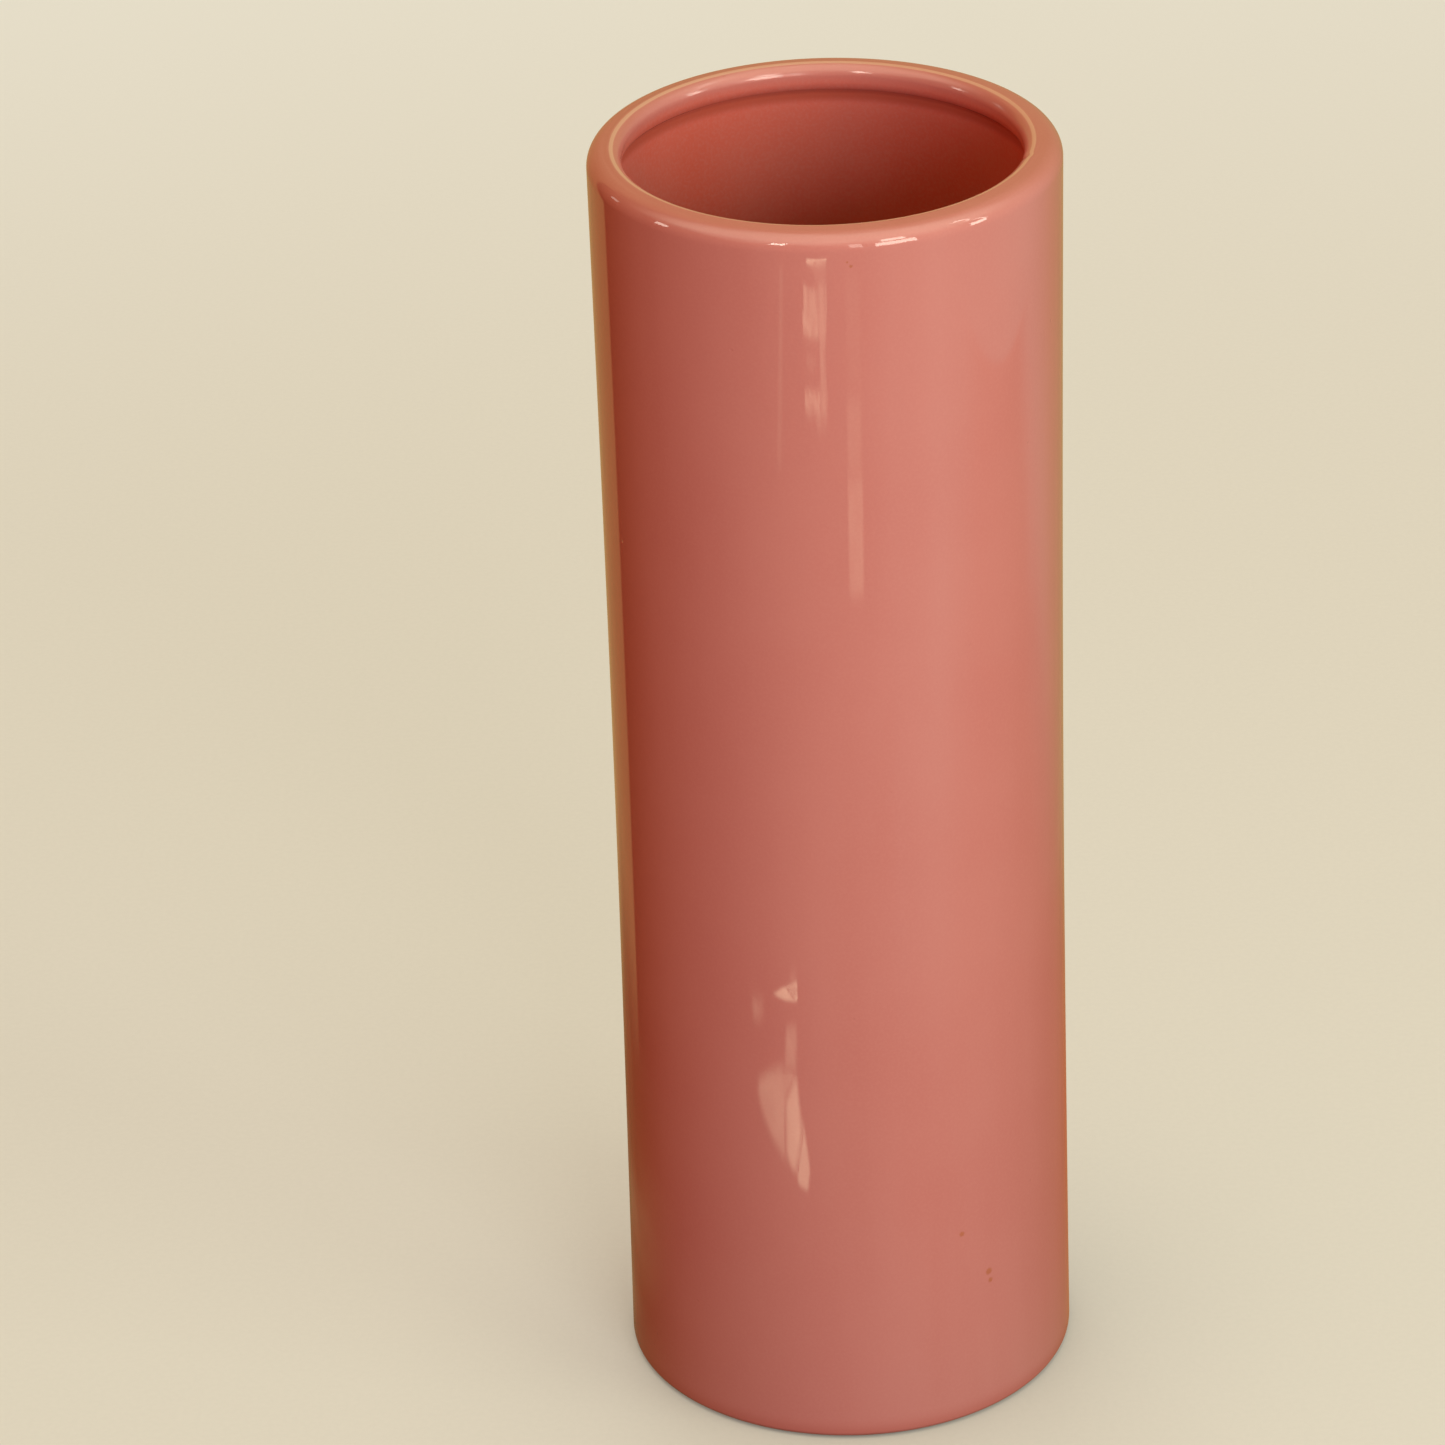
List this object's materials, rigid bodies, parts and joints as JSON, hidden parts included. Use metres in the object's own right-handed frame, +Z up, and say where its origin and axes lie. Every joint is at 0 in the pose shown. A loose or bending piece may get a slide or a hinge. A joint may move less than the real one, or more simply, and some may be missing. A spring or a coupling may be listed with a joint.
{
  "type": "cylinder vase",
  "caption": "Tall straight cylinder vase of glazed ceramic with a rolled lip, a bare foot ring and a glazed recess under it; holds cut stems and water.",
  "frame": {"origin": "centre of the foot, on the surface the vase stands on", "axes": "+Z up along the vase's axis towards its mouth; the vase is round, so +X and +Y are free"},
  "size_m": [0.103, 0.103, 0.3],
  "materials": {
    "buff_clay": "matte",
    "pink_glaze_outside": "gloss",
    "pink_glaze_inside": "gloss",
    "pink_glaze_base": "gloss"
  },
  "bodies": {
    "root": {"clay_body": "buff_clay", "outer_glaze": "pink_glaze_outside", "inner_glaze": "pink_glaze_inside", "base_glaze": "pink_glaze_base"}
  },
  "joints": []
}
